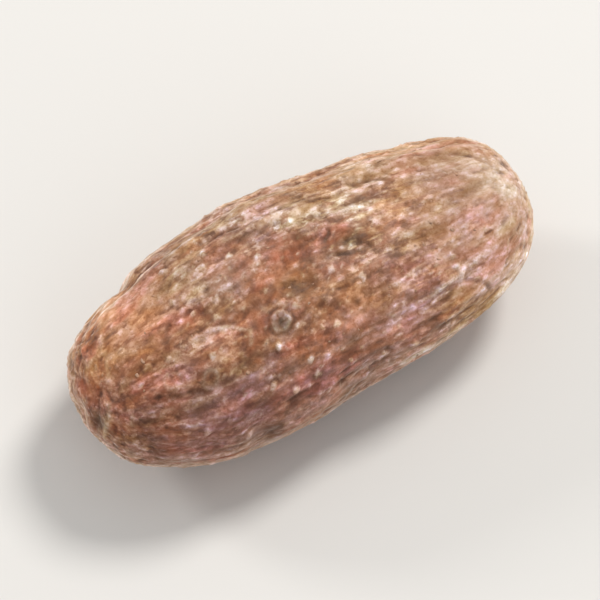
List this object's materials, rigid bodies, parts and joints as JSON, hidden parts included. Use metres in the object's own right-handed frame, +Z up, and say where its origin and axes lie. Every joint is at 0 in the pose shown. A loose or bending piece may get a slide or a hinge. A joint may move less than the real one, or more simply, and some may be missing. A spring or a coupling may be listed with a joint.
{
  "type": "cocoa bean",
  "caption": "Plump dried cocoa bean in its ribbed, papery shell, with a rounded germ end, a blunter far end and a small flat spot it rests on.",
  "frame": {"origin": "middle of the bean's outline in plan, on the surface it lies on", "axes": "+X along the bean from the germ end to the blunt end, +Y across its broad faces, +Z up"},
  "size_m": [0.0268, 0.0128, 0.0088],
  "materials": {
    "dried_shell": "matte, dry and papery, reddish brown with a pale dusty film"
  },
  "bodies": {
    "root": {"bean": "dried_shell"}
  },
  "joints": []
}
